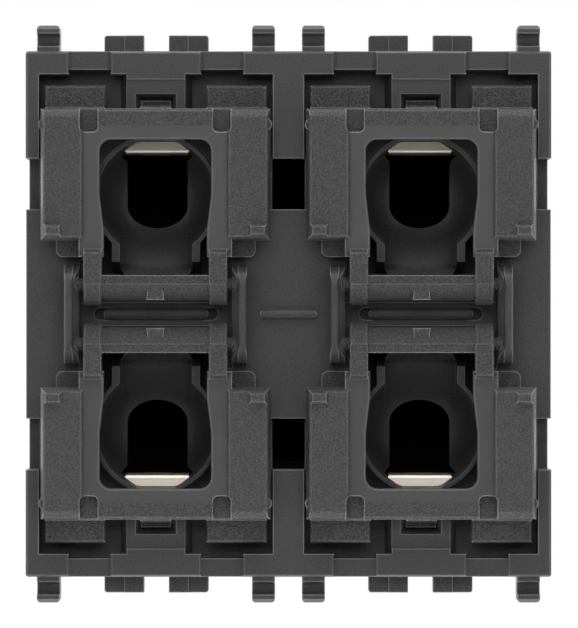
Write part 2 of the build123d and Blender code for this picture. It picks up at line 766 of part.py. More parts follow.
# Lamp cup: bowl with a tongue towards the hinge, and the deep slot that takes the lamp
rib_inner = rib_half_width - rib_wall
foot_top = fixed_plate_front + strip_thickness
foot_bottom = foot_top + lamp_contact_thickness
lip_back_level = lamp_lip_front + lamp_contact_thickness
with BuildPart() as lamp_cup:
    with BuildSketch(Plane.XY.offset(-cup_depth)):
        with Locations((0, cup_y)):
            Circle(cup_outer_radius)
        with Locations((0, (rib_end + cup_y) / 2)):
            Rectangle(2 * rib_half_width, cup_y - rib_end)
    extrude(amount=cup_depth - cup_rim)
    with BuildSketch(Plane.XY.offset(-cup_depth)):
        with Locations((0, (tongue_end + cup_y) / 2)):
            Rectangle(2 * tongue_half_width, cup_y - tongue_end)
        fillet(vertices().group_by(Axis.Y)[0], tongue_corner)
    extrude(amount=cup_depth - cup_rim)
    with BuildSketch(Plane.XY.offset(-plate_depth - flange_thickness)):
        with Locations((0, cup_y)):
            Circle(cup_hole_radius + flange_width)
        with Locations((0, (keyhole_end - flange_width + cup_y) / 2)):
            Rectangle(2 * (keyhole_half_width + flange_width), cup_y - keyhole_end + flange_width)
    extrude(amount=flange_thickness)
    tube_low = lamp_slot_y - lamp_slot_round - tube_wall
    tube_high = lamp_slot_end + tube_wall
    with BuildSketch(Plane.XY.offset(-lamp_slot_depth - tube_floor)):
        with Locations((0, (tube_low + tube_high) / 2)):
            Rectangle(2 * (lamp_slot_half_width + lamp_slot_flare + tube_wall), tube_high - tube_low)
    extrude(amount=lamp_slot_depth + tube_floor - cup_depth)

    # Bowl, flat around the slot and steep at the rim
    with BuildSketch(Plane.XZ.offset(-cup_y)):
        with BuildLine():
            EllipticalCenterArc(
                (bowl_floor_radius, -cup_rim),
                cup_inner_radius - bowl_floor_radius,
                bowl_floor - cup_rim,
                start_angle=270,
                arc_size=90,
            )
            Polyline(
                (cup_inner_radius, -cup_rim),
                (0, -cup_rim),
                (0, -bowl_floor),
                (bowl_floor_radius, -bowl_floor),
            )
        make_face()
    revolve(axis=Axis((0, cup_y, 0), (0, 0, 1)), mode=Mode.SUBTRACT)

    # Rounded scoop, rising from the bowl to a crease and then along the tongue
    scoop_end = tongue_end - flange_width
    for low_y, low_level, high_y, high_level in (
        (scoop_foot, bowl_floor, scoop_crease, scoop_crease_level),
        (scoop_crease, scoop_crease_level, scoop_end, scoop_end_level),
    ):
        rise = Vector(0, high_y - low_y, low_level - high_level)
        with BuildSketch(Plane.XZ.offset(-low_y)):
            Rectangle(2 * rib_inner, 2 * low_level)
            fillet(vertices().group_by(Axis.Z)[0], scoop_round)
        extrude(amount=rise.length, dir=rise, mode=Mode.SUBTRACT)

    # Ends of the ribs, sloping down beside the tongue
    with BuildSketch(Plane.YZ.offset(-rib_half_width)):
        with BuildLine():
            Polyline(
                (rib_slope_start, -cup_rim),
                (rib_end, -scoop_end_level),
                (rib_end, -cup_rim),
                close=True,
            )
        make_face()
    extrude(amount=2 * rib_half_width, mode=Mode.SUBTRACT)

    # Lamp slot, flared at its outer end
    flare_x = lamp_slot_half_width + lamp_slot_flare
    flare_y = lamp_slot_end - lamp_slot_flare_length
    with BuildSketch(Plane.XY.offset(-lamp_slot_depth)):
        with Locations((0, lamp_slot_y)):
            Ellipse(lamp_slot_half_width, lamp_slot_round)
        with BuildLine():
            Polyline(
                (-lamp_slot_half_width, lamp_slot_y),
                (lamp_slot_half_width, lamp_slot_y),
                (lamp_slot_half_width, flare_y),
                (flare_x, flare_y + lamp_slot_flare),
                (flare_x, lamp_slot_end),
                (-flare_x, lamp_slot_end),
                (-flare_x, flare_y + lamp_slot_flare),
                (-lamp_slot_half_width, flare_y),
                close=True,
            )
        make_face()
    extrude(amount=lamp_slot_depth, mode=Mode.SUBTRACT)

    # Seat and groove of the lamp contact, and the window for its foot
    seat_end = cup_y + cup_outer_radius
    with BuildSketch(Plane.XY.offset(-lip_back_level - lamp_groove_clearance)):
        add(lip_outline(lamp_groove_clearance))
    extrude(amount=lip_back_level, mode=Mode.SUBTRACT)
    groove_end = lamp_slot_end + lamp_contact_thickness + lamp_groove_clearance
    with BuildSketch(Plane.XY.offset(-foot_bottom - lamp_groove_clearance)):
        with Locations((0, (lamp_slot_end + groove_end) / 2)):
            Rectangle(2 * (lamp_tail_half_width + lamp_groove_clearance), groove_end - lamp_slot_end)
    extrude(amount=foot_bottom - lamp_lip_front, mode=Mode.SUBTRACT)
    with BuildSketch(Plane.XY.offset(-foot_bottom - lamp_groove_clearance)):
        with Locations((0, (lamp_slot_end + seat_end) / 2)):
            Rectangle(2 * (lamp_foot_half_width + lamp_groove_clearance), seat_end - lamp_slot_end)
    extrude(amount=lamp_contact_thickness + 2 * lamp_groove_clearance, mode=Mode.SUBTRACT)

# Lamp contact: lip facing the front, tail down the end of the slot, foot under the fixed contact
with BuildPart() as lamp_contact:
    with BuildSketch(Plane.XY.offset(-lip_back_level)):
        add(lip_outline(0))
    extrude(amount=lamp_contact_thickness)
    tail_y = lamp_slot_end + lamp_contact_thickness / 2
    with BuildSketch(Plane.XY.offset(-lamp_tail_end)):
        with Locations((0, tail_y)):
            Rectangle(2 * lamp_tail_half_width, lamp_contact_thickness)
    extrude(amount=lamp_tail_end - lip_back_level)
    with BuildSketch(Plane.XY.offset(-foot_bottom)):
        with Locations((0, tail_y)):
            Rectangle(2 * lamp_foot_half_width, lamp_contact_thickness)
    extrude(amount=foot_bottom - lamp_tail_end)
    with BuildSketch(Plane.XY.offset(-foot_bottom)):
        with Locations((0, (lamp_slot_end + lamp_foot_end) / 2)):
            Rectangle(2 * lamp_foot_half_width, lamp_foot_end - lamp_slot_end)
    extrude(amount=lamp_contact_thickness)
    front_edge = edges().filter_by(Axis.X).group_by(Axis.Z)[-1].sort_by(Axis.Y)[0]
    fillet(front_edge, lamp_lip_bend)


def bent_strip(x, front_depth):
    """Tail and foot of a contact strip at x, from its front plate back to a terminal block."""
    foot_front_depth = block_front - strip_thickness
    with BuildPart() as strip:
        with BuildSketch(Plane.YZ.offset(x - strip_width / 2)):
            with BuildLine():
                Polyline(
                    (strip_outer, -front_depth),
                    (strip_outer, -block_front),
                    (strip_foot_inner, -block_front),
                    (strip_foot_inner, -foot_front_depth),
                    (strip_outer - strip_thickness, -foot_front_depth),
                    (strip_outer - strip_thickness, -front_depth),
                    close=True,
                )
            make_face()
        extrude(amount=strip_width)
    return strip.part


def make_fixed_contact(outward):
    """Contact under the tip of a blade; its strip leads to the terminal on the outward side."""
    tail_x = outward * (terminal_outset)
    plate_low = -outward * (contact_radius + contact_margin)
    plate_high = tail_x + outward * strip_width / 2
    tail = bent_strip(tail_x, fixed_plate_front)
    with BuildPart() as fixed_contact:
        with BuildSketch(Plane.XY.offset(-fixed_plate_front - strip_thickness)):
            with Locations(((plate_low + plate_high) / 2, strip_outer - blade_width / 2)):
                Rectangle(abs(plate_high - plate_low), blade_width)
        extrude(amount=strip_thickness)
        add(tail)
        with BuildSketch(Plane.XY.offset(-fixed_plate_front)):
            with Locations((0, blade_y)):
                Circle(contact_radius)
        extrude(amount=contact_height)
    return fixed_contact.part


def make_blade(inward):
    """Sprung strip from the common bar to under the plunger, with its contact at the tip."""
    root = inward * (module_pitch / 2 - blade_root_gap)
    tip = -inward * (contact_radius + contact_margin)
    with BuildPart() as blade:
        with BuildSketch(Plane.XY.offset(-blade_front - blade_thickness)):
            with Locations(((root + tip) / 2, blade_y)):
                Rectangle(abs(root - tip), blade_width)
        extrude(amount=blade_thickness)
        with BuildSketch(Plane.XY.offset(-blade_front - blade_thickness - contact_height)):
            with Locations((0, blade_y)):
                Circle(contact_radius)
        extrude(amount=contact_height)
    return blade.part


# Common bar: carries the roots of both blades of its row
common_front = blade_front + blade_thickness
common_tail = bent_strip(0, common_front)
with BuildPart() as common_bar:
    with BuildSketch(Plane.XY.offset(-common_front - strip_thickness)):
        with Locations((0, blade_y)):
            Rectangle(common_length, blade_width)
    extrude(amount=strip_thickness)
    add(common_tail)

# Terminal block: wire hole from the outer side, screw hole from the back
with BuildPart() as terminal_block:
    with BuildSketch(Plane.XY.offset(-block_back)):
        with Locations((0, (block_inner + block_outer) / 2)):
            Rectangle(block_width, block_outer - block_inner)
    extrude(amount=block_depth)
    with BuildSketch(Plane.XZ.offset(-block_outer)):
        with Locations((0, -wire_z)):
            Circle(wire_radius)
    extrude(amount=wire_length, mode=Mode.SUBTRACT)
    with BuildSketch(Plane.XY.offset(-block_back)):
        with Locations((0, screw_y)):
            Circle(screw_radius + screw_clearance)
    extrude(amount=block_back - wire_z, mode=Mode.SUBTRACT)

# Terminal screws, all alike: slotted heads against the backs of the blocks
screw_tip = wire_z + wire_radius + screw_tip_gap
with BuildPart() as terminal_screws:
    with BuildSketch(Plane.XY.offset(-block_back)):
        with GridLocations(terminal_spacing, 2 * screw_y, 3, 2):
            Circle(screw_radius)
    extrude(amount=block_back - screw_tip)
    with BuildSketch(Plane.XY.offset(-block_back - screw_head_height)):
        with GridLocations(terminal_spacing, 2 * screw_y, 3, 2):
            Circle(screw_head_radius)
    extrude(amount=screw_head_height)
    with BuildSketch(Plane.XY.offset(-block_back - screw_head_height)):
        with GridLocations(terminal_spacing, 2 * screw_y, 3, 2):
            Rectangle(3 * screw_head_radius, screw_slot_width)
    extrude(amount=screw_slot_depth, mode=Mode.SUBTRACT)

# Rear housing: box that plugs into the skirt, with a chamber for each terminal block
housing_width = body_width - 2 * side_wall - 2 * housing_clearance
housing_height = body_height - 2 * end_wall - 2 * housing_clearance
inner_height = housing_height - 2 * housing_wall
with BuildPart() as rear_housing:
    with BuildSketch(Plane.XY.offset(-housing_back)):
        RectangleRounded(housing_width, housing_height, housing_corner)
    extrude(amount=housing_back - plate_depth)
    chamfer(faces().sort_by(Axis.Z)[0].edges(), length=housing_back_wall / 2)
    with BuildSketch(Plane.XY.offset(-block_back)):
        Rectangle(housing_width - 2 * housing_wall, inner_height)
    extrude(amount=block_back - plate_depth, mode=Mode.SUBTRACT)

    # Ribs beside and under each terminal block
    rib_x = block_width / 2 + rib_clearance + rib_thickness / 2
    rib_low = block_inner - rib_clearance - rib_thickness
    rib_y = (rib_low + inner_height / 2) / 2
    with BuildSketch(Plane.XY.offset(-block_back)):
        with GridLocations(terminal_spacing, 2 * rib_y, 3, 2):
            with GridLocations(2 * rib_x, 1, 2, 1):
                Rectangle(rib_thickness, inner_height / 2 - rib_low)
        with GridLocations(terminal_spacing, 2 * rib_low + rib_thickness, 3, 2):
            Rectangle(2 * rib_x, rib_thickness)
    extrude(amount=block_back - block_front)

    # Walls of the open channel behind the windows between the modules
    with BuildSketch(Plane.XY.offset(-block_back)):
        with GridLocations(window_width + channel_wall, 1, 2, 1):
            Rectangle(channel_wall, 2 * channel_wall_reach)
    extrude(amount=block_back - channel_wall_front)

    # Wire holes in the top and bottom walls, screw holes in the back
    with BuildSketch(Plane.XZ.offset(-housing_height / 2)):
        with GridLocations(terminal_spacing, 1, 3, 1):
            with Locations((0, -wire_z)):
                Circle(wire_hole_radius)
    extrude(amount=housing_wall, mode=Mode.SUBTRACT)
    with BuildSketch(Plane.XZ.offset(housing_height / 2 - housing_wall)):
        with GridLocations(terminal_spacing, 1, 3, 1):
            with Locations((0, -wire_z)):
                Circle(wire_hole_radius)
    extrude(amount=housing_wall, mode=Mode.SUBTRACT)
    with BuildSketch(Plane.XY.offset(-housing_back)):
        with GridLocations(terminal_spacing, 2 * screw_y, 3, 2):
            Circle(screw_hole_radius)
    extrude(amount=housing_back_wall, mode=Mode.SUBTRACT)

    # Wedge catches in the windows of the skirt
    catch_root = housing_width / 2
    catch_back = -catch_front - catch_length
    for y in (catch_y, -catch_y):
        with BuildSketch(Plane.XZ.offset(-y - catch_width / 2)):
            with BuildLine():
                Polyline(
                    (catch_root - housing_wall / 2, -catch_front),
                    (catch_root, -catch_front),
                    (catch_root + catch_height, catch_back + catch_land),
                    (catch_root + catch_height, catch_back),
                    (catch_root - housing_wall / 2, catch_back),
                    close=True,
                )
            make_face()
            mirror(about=Plane.YZ)
        extrude(amount=catch_width)

os.makedirs("parts", exist_ok=True)
save(place(front_frame.part, 0, 1), "front_frame")
save(place(rear_housing.part, 0, 1), "rear_housing")
save(place(terminal_screws.part, 0, 1), "terminal_screws")
for row, level in ((1, "upper"), (-1, "lower")):
    save(place(common_bar.part, 0, row), f"common_bar_{level}")
    for column, side in ((-1, "left"), (1, "right")):
        module_x = column * module_pitch / 2
        outward = column * row
        save(place(lever.part, module_x, row), f"lever_{level}_{side}")
        save(place(lamp_cup.part, module_x, row), f"lamp_cup_{level}_{side}")
        save(place(lamp_contact.part, module_x, row), f"lamp_contact_{level}_{side}")
        save(place(make_blade(-outward), module_x, row), f"contact_blade_{level}_{side}")
        save(place(make_fixed_contact(outward), module_x, row), f"fixed_contact_{level}_{side}")
    for x, side in zip(terminal_x, ("left", "middle", "right")):
        save(place(terminal_block.part, x, row), f"terminal_block_{level}_{side}")
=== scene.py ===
# %% [markdown]
# # A four-lever pushbutton switch, dressed for a studio picture
#
# The switch comes in as a finished mechanical model: a moulded frame, four rocking levers, four
# lamp cups and the contacts behind them. Its shape is already right, so this lesson is about
# finishes and light, and about the few small pieces that deserve more shape than the model
# gives them: contact strips that are bent from sheet, smooth throats for the lamp cups, and
# slotted screws. We load the model first.

# %% Load the switch
import math

import bpy
import numpy as np
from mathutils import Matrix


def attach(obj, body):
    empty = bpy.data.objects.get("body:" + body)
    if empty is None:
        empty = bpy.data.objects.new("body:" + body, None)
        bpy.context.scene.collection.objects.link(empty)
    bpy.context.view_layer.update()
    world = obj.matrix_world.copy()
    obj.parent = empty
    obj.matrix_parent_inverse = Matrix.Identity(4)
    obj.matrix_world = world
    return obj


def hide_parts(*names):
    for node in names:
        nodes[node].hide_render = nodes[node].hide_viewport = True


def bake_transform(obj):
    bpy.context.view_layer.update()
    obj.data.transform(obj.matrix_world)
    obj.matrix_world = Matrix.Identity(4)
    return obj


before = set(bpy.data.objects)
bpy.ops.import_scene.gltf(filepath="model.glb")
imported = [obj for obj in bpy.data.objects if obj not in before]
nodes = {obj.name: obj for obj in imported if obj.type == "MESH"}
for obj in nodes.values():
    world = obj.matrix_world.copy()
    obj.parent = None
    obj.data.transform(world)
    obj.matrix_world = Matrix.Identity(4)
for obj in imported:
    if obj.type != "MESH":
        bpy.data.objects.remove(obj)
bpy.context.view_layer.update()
MM = 0.001

# %% [markdown]
# ## Wiring shader nodes
#
# Every finish below is a small network of shader nodes. Writing out each new node, each value
# and each link by hand would bury the idea, so a few helpers do it: a plain value is set on a
# node's socket, and the output of another node is linked to it. The three steps that come back
# most often, a sum, a change of range and a mix, then take one line each.

# %% Helpers that add and wire nodes
def fill(tree, node, inputs):
    """Set each named input of a node to a plain value, or link another node's output to it."""
    for name, value in inputs.items():
        if isinstance(value, bpy.types.NodeSocket):
            tree.links.new(value, node.inputs[name])
        else:
            node.inputs[name].default_value = value


def add_node(tree, kind, inputs=None, **settings):
    """Add a node, set its options, and fill its inputs."""
    node = tree.nodes.new(kind)
    for option, value in settings.items():
        setattr(node, option, value)
    fill(tree, node, inputs or {})
    return node


def math_node(tree, operation, first, second=0.0):
    """Add one arithmetic node and return its output."""
    return add_node(tree, "ShaderNodeMath", {0: first, 1: second}, operation=operation).outputs[0]


def remap(tree, value, old, new, **settings):
    """Move a value from the old range, given by its two ends, to the new one, and hold it there."""
    inputs = {"Value": value, "From Min": old[0], "From Max": old[1],
              "To Min": new[0], "To Max": new[1]}
    return add_node(tree, "ShaderNodeMapRange", inputs, **settings).outputs["Result"]


def mix(tree, share, first, second, data_type="RGBA"):
    """Mix two colours, or two values, by a share that is 0 for the first and 1 for the second."""
    inputs = {"Factor": share, "A": first, "B": second}
    return add_node(tree, "ShaderNodeMix", inputs, data_type=data_type).outputs["Result"]


print("node helpers ready")

# %% [markdown]
# ## Starting materials and groups
#
# A material starts with one shader, the Principled BSDF, which stays in the material itself. An
# effect that several materials share is a node group: a small network with named inputs and
# outputs, built once and placed in each material with its own values. Copying its nodes into
# every material would work too, but then a change would have to be made in each of them.

# %% Helpers that start materials and groups
UNIT = (0.0, 1.0)


def new_material(name):
    """Start a material, and give it with its node tree and the shader inside."""
    material = bpy.data.materials.new(name)
    material.use_nodes = True
    return material, material.node_tree, material.node_tree.nodes["Principled BSDF"]


def new_group(name, inputs, outputs):
    """Start a node group with float inputs, given with their defaults, and typed outputs."""
    tree = bpy.data.node_groups.new(name, "ShaderNodeTree")
    for socket, default in inputs.items():
        made = tree.interface.new_socket(socket, in_out="INPUT", socket_type="NodeSocketFloat")
        made.default_value = default
    for socket, kind in outputs.items():
        tree.interface.new_socket(socket, in_out="OUTPUT", socket_type=kind)
    return tree, tree.nodes.new("NodeGroupInput").outputs, tree.nodes.new("NodeGroupOutput")


print("material helpers ready")

# %% [markdown]
# ## Moulded grain
#
# The steel mould of a part like this is spark-eroded, which leaves a fine pebbled skin on the
# plastic: bumps about an eighth of a millimetre across. It could be sculpted into the mesh, but
# millions of faces would only blur into a texture at this scale. Noise in object coordinates
# gives the same skin on every face, whichever way it looks. Slower noise adds the clouds that
# keep the colour from being one flat tone.

# %% Node group: pebbles and clouds
PEBBLE_SPAN = (0.34, 0.66)  # the part of the noise that is stretched to the full height
CLOUD_SPAN = (0.38, 0.62)  # how far the clouds may pull the tone
grain, grain_in, grain_out = new_group(
    "moulded_grain",
    {"Grains per metre": 7600.0, "Clouds per metre": 260.0, "Polished level": -2.2 * MM,
     "Polished band": 0.15 * MM, "Polished middle": 10.7 * MM, "Polished reach": 5.3 * MM},
    {"Height": "NodeSocketFloat", "Mottle": "NodeSocketFloat"},
)
place = add_node(grain, "ShaderNodeTexCoord").outputs["Object"]
pebbles = add_node(grain, "ShaderNodeTexNoise",
                   {"Vector": place, "Scale": grain_in["Grains per metre"],
                    "Detail": 2.0, "Roughness": 0.55}).outputs["Fac"]
clouds = add_node(grain, "ShaderNodeTexNoise",
                  {"Vector": place, "Scale": grain_in["Clouds per metre"],
                   "Detail": 4.0, "Roughness": 0.6}).outputs["Fac"]
pebbles = remap(grain, pebbles, PEBBLE_SPAN, UNIT)
clouds = remap(grain, clouds, UNIT, CLOUD_SPAN)
print("group", grain.name, "has its noise")

# %% [markdown]
# ## Polished bands
#
# Where the mould was polished instead, as on the band around each lamp window, the skin is
# smooth. A painted mask could mark that band, but the levers lie flat in the frame, so a level
# is just one value of Y, and the band is known by its level and by its reach on both sides of
# the window's middle. The group gives a height for the bump, which is zero on the band, and a
# mottle of pebbles and clouds.

# %% Node group: the polished bands stay smooth
PEBBLE_SHARE = 0.75  # how much of the mottle the pebbles make, where there are any
axes = add_node(grain, "ShaderNodeSeparateXYZ", {0: place}).outputs
off_level = math_node(grain, "SUBTRACT", axes["Y"], grain_in["Polished level"])
off_level = math_node(grain, "ABSOLUTE", off_level)
off_level = math_node(grain, "GREATER_THAN", off_level, grain_in["Polished band"])
off_window = math_node(grain, "ABSOLUTE", axes["Z"])
off_window = math_node(grain, "SUBTRACT", off_window, grain_in["Polished middle"])
off_window = math_node(grain, "ABSOLUTE", off_window)
off_window = math_node(grain, "GREATER_THAN", off_window, grain_in["Polished reach"])
pebbled = math_node(grain, "MAXIMUM", off_level, off_window)
share = math_node(grain, "MULTIPLY", pebbled, PEBBLE_SHARE)
fill(grain, grain_out, {"Height": math_node(grain, "MULTIPLY", pebbled, pebbles),
                        "Mottle": mix(grain, share, clouds, pebbles, "FLOAT")})
print("group", grain.name, "with", len(grain.nodes), "nodes")

# %% [markdown]
# ## Soft edges
#
# No moulded edge is truly sharp. A radius of about a tenth of a millimetre is too small to
# matter for the fit, yet it is what catches the light and draws the bright lines around every
# step. A Bevel modifier could cut it into the mesh, but the model's mesh is left alone. The
# Bevel node looks around each point instead, and gives a normal that turns smoothly over such
# an edge. Outer edges also get a painted highlight: their colour is painted paler, and they are
# made smoother than the faces. To find only those, rays are sent from each point into the
# plastic: near an outer edge many of them soon leave it again, in a hollow none do.

# %% Node group: soft edges
HIGHLIGHT_SPAN = (0.94, 0.64)  # share of the rays that stay inside, where the painted edge highlight starts and is full
EDGE_SAMPLES = 6
edges, edges_in, edges_out = new_group(
    "soft_edges",
    {"Radius": 0.10 * MM, "Highlight width": 0.12 * MM},
    {"Normal": "NodeSocketVector", "Edge highlight": "NodeSocketFloat"},
)
rounded = add_node(edges, "ShaderNodeBevel", {"Radius": edges_in["Radius"]}, samples=EDGE_SAMPLES)
inside = add_node(edges, "ShaderNodeAmbientOcclusion", {"Distance": edges_in["Highlight width"]},
                  samples=EDGE_SAMPLES, inside=True, only_local=True)
fill(edges, edges_out, {"Normal": rounded.outputs["Normal"],
                        "Edge highlight": remap(edges, inside.outputs["AO"], HIGHLIGHT_SPAN, UNIT)})
print("group", edges.name, "with", len(edges.nodes), "nodes")

# %% [markdown]
# ## Dark grey moulded plastic
#
# Frame, levers, lamp cups and housing are one family of grey plastic, and differ in how the
# mould was finished. Four materials could be wired one by one. Here one function builds them
# all from the two groups, with the tone, the grain and the gloss as values: the grain mottles
# the colour and the gloss and lifts the surface, and the outer edges get a painted highlight,
# paler and a little glossier. Deep in the lamp sockets, where no light comes back, the colour of
# the cups is painted black: painted shade.

# %% Plastic finish
GRAIN_HEIGHT = 0.10 * MM
GLOSS_SPREAD, HIGHLIGHT_GLOSS = 0.06, 0.10  # how much the mottle and the painted edge highlight change the roughness
# painted shade: the black that the cups' colour is painted far inside the lamp sockets, with a dull
# roughness there
PAINTED_SOCKET_SHADE, SOCKET_ROUGH = (0.002, 0.002, 0.002, 1.0), 0.95


def moulded_plastic(name, tone, grain_strength, roughness, shine=0.16, painted_highlight=4.0, mottling=0.25,
                    edge=0.10 * MM, painted_shade_levels=None):
    """Grey plastic: mottled tone, pebbled bump, soft edges with a painted highlight.

    Outer edges are rounded by edge and painted paler by the given factor: a painted highlight.
    Between the two given depth levels the colour is painted black, painted shade as far inside a
    socket, and the plastic turns dull.
    """
    material, tree, shader = new_material(name)
    skin = add_node(tree, "ShaderNodeGroup", node_tree=grain).outputs
    rim = add_node(tree, "ShaderNodeGroup", {"Radius": edge}, node_tree=edges).outputs
    scales = (1 - mottling, 1 + mottling, painted_highlight)
    # painted highlight: the outer edges are painted paler, the given factor times the tone
    dark, pale, highlight_colour = ([scale * c for c in tone] + [1.0] for scale in scales)
    colour = mix(tree, rim["Edge highlight"], mix(tree, skin["Mottle"], dark, pale), highlight_colour)
    glosses = (roughness - GLOSS_SPREAD, roughness + GLOSS_SPREAD)
    gloss = remap(tree, skin["Mottle"], UNIT, glosses)
    gloss = mix(tree, rim["Edge highlight"], gloss, roughness - HIGHLIGHT_GLOSS, "FLOAT")
    if painted_shade_levels:
        # painted shade: between the two levels the colour is painted black, as far inside a lamp
        # socket
        place = add_node(tree, "ShaderNodeTexCoord").outputs["Object"]
        level = add_node(tree, "ShaderNodeSeparateXYZ", {0: place}).outputs["Y"]
        sunk = remap(tree, level, painted_shade_levels, UNIT)
        colour = mix(tree, sunk, colour, PAINTED_SOCKET_SHADE)
        gloss = mix(tree, sunk, gloss, SOCKET_ROUGH, "FLOAT")
    raised = add_node(tree, "ShaderNodeBump",
                      {"Height": skin["Height"], "Normal": rim["Normal"],
                       "Strength": grain_strength, "Distance": GRAIN_HEIGHT})
    fill(tree, shader, {"Base Color": colour, "Roughness": gloss,
                        "Normal": raised.outputs["Normal"], "Specular IOR Level": shine})
    return material


finishes = {
    "frame_plastic": moulded_plastic(
        "frame_grey_plastic", (0.052, 0.053, 0.052), grain_strength=0.12, roughness=0.38),
    "lever_plastic": moulded_plastic(
        "lever_grey_plastic", (0.061, 0.062, 0.061), grain_strength=1.0, roughness=0.40,
        shine=0.24, painted_highlight=4.5, mottling=0.6, edge=0.17 * MM),
    # the cups' colour is painted black between these two depths: painted shade in the lamp sockets
    "cup_plastic": moulded_plastic(
        "cup_dark_plastic", (0.046, 0.046, 0.047), grain_strength=0.10, roughness=0.45,
        shine=0.10, painted_highlight=1.6, painted_shade_levels=(6.8 * MM, 10.0 * MM)),
    "housing_plastic": moulded_plastic(
        "housing_grey_plastic", (0.060, 0.061, 0.061), grain_strength=0.45, roughness=0.50),
}
print("plastics:", ", ".join(finishes))

# %% [markdown]
# ## Metals
#
# The contacts are stamped from rolled strip, so their surface carries faint streaks along the
# rolling direction. A photo of brushed metal could show them, but noise never repeats and needs
# no file. Stretching it a hundred times along one axis gives the streaks, and they vary the
# roughness more than the colour, because a streak is a change of polish.

# %% Metal finish
STREAKS = (30.0, 3000.0, 3000.0)  # noise per metre along the strip and across it
STREAK_TONES = (0.80, 1.12)  # the darkest and the palest streak, as shares of the tone
POLISH_SPREAD = 0.10
METAL_EDGE = 0.06 * MM
METALS = {  # name, tone and roughness of the finish for each slot
    "contact_nickel": ("contact_nickel_silver", (0.78, 0.715, 0.61), 0.46),
    "contact_brass": ("contact_brass_strip", (0.66, 0.47, 0.22), 0.32),
    "spring_bronze": ("spring_bronze_strip", (0.62, 0.39, 0.22), 0.30),
    "terminal_brass": ("terminal_brass_bar", (0.64, 0.48, 0.25), 0.36),
    "screw_steel": ("screw_zinc_steel", (0.36, 0.37, 0.38), 0.42),
}


def rolled_metal(name, tone, roughness):
    """Rolled strip: streaks along one axis vary the tone and the polish of a bare metal."""
    material, tree, shader = new_material(name)
    place = add_node(tree, "ShaderNodeTexCoord").outputs["Object"]
    pulled = add_node(tree, "ShaderNodeMapping", {"Vector": place, "Scale": STREAKS}).outputs
    noise = {"Vector": pulled["Vector"], "Scale": 1.0, "Detail": 3.0}
    streak = add_node(tree, "ShaderNodeTexNoise", noise).outputs["Fac"]
    rim = add_node(tree, "ShaderNodeGroup", {"Radius": METAL_EDGE}, node_tree=edges).outputs
    dark, pale = ([min(1.0, scale * c) for c in tone] + [1.0] for scale in STREAK_TONES)
    polish = remap(tree, streak, UNIT, (roughness - POLISH_SPREAD, roughness + POLISH_SPREAD))
    fill(tree, shader, {"Base Color": mix(tree, streak, dark, pale), "Roughness": polish,
                        "Normal": rim["Normal"], "Metallic": 1.0})
    return material


finishes |= {slot: rolled_metal(*values) for slot, values in METALS.items()}
print("metals:", ", ".join(METALS))

# %% [markdown]
# ## Finishes on the pieces
#
# Each piece of the model has a slot whose name says what the real piece is made of, such as
# lever_plastic. Each piece could be given its finish by its own name, but the slot's name picks
# it for all pieces at once. Their meshes are left as they are.

# %% Give every piece its finish
for piece in nodes.values():
    for slot in piece.material_slots:
        slot.material = finishes[slot.material.name]
print("finished", len(nodes), "pieces")

# %% [markdown]
# ## Surfaces from arrays
#
# The small pieces are surfaces worked out as arrays: rings or grids of points, each joined to
# the next by quads. Whether those quads look outwards depends on the way round that the rings
# run, and a mirrored piece runs the other way. Blender could recalculate the normals of each
# mesh, but the volume tells as well: summed over the faces, the signed volume of a closed
# surface is positive when they look outwards, so a negative one turns all faces over. A closed
# surface, called a shell below, is handed on as its points, its quads and the rings that close
# its ends.

# %% Helpers for closed surfaces
def join_rings(rings):
    """Quads between neighbouring rows of an index array whose rows are closed rings."""
    ahead = np.roll(rings, -1, axis=1)
    return np.stack([rings[:-1], ahead[:-1], ahead[1:], rings[1:]], axis=-1).reshape(-1, 4)


def join_grid(grid):
    """Quads between neighbouring rows and columns of an index array."""
    corners = [grid[:-1, :-1], grid[:-1, 1:], grid[1:, 1:], grid[1:, :-1]]
    return np.stack(corners, axis=-1).reshape(-1, 4)


def grid_border(grid):
    """The indices once round the border of an index array."""
    return np.concatenate([grid[0], grid[1:, -1], grid[-1, -2::-1], grid[-2:0:-1, 0]])


def swept(rings):
    """A shell from rows of points: each row is a closed ring, and the first and last are filled."""
    index = np.arange(rings[..., 0].size).reshape(rings.shape[:2])
    return rings.reshape(-1, 3), join_rings(index), [index[0][::-1], index[-1]]


def signed_volume(points, quads, caps):
    """Sum of p0 . (p1 x p2) / 6 over the triangles of the quads and of the filled end rings."""
    fans = [np.column_stack([np.full(len(c) - 2, c[0]), c[1:-1], c[2:]]) for c in caps]
    tris = np.vstack([quads[:, [0, 1, 2]], quads[:, [0, 2, 3]], *fans])
    p0, p1, p2 = points[tris[:, 0]], points[tris[:, 1]], points[tris[:, 2]]
    return float(np.einsum("ij,ij->i", p0, np.cross(p1, p2)).sum() / 6)


print("surface helpers ready")

# %% [markdown]
# ## From shells to pieces
#
# One mesh may hold several shells, such as a blade and the button riveted to it. Shells are
# written in millimetres for the upper right quarter of the switch, where numbers are easy to
# read. The other three quarters are mirror images, and the mesh itself is in metres. Copies
# with a negative scale would do the same, but every object is to sit at the origin, so the
# points themselves are mirrored.

# %% Helpers that make pieces
SHARP_ANGLE = math.radians(35)
MODULE = 11.3  # from the middle of the switch to the middle of each module
QUARTERS = {f"{row}_{side}": (hand, turn) for row, turn in (("upper", 1), ("lower", -1))
            for side, hand in (("left", -1), ("right", 1))}


def placed(shell, hand, turn):
    """A shell of the upper right quarter, moved to its module and mirrored to its side and row."""
    points, quads, caps = shell
    return (points + (MODULE, 0.0, 0.0)) * (hand, 1, turn), quads, caps


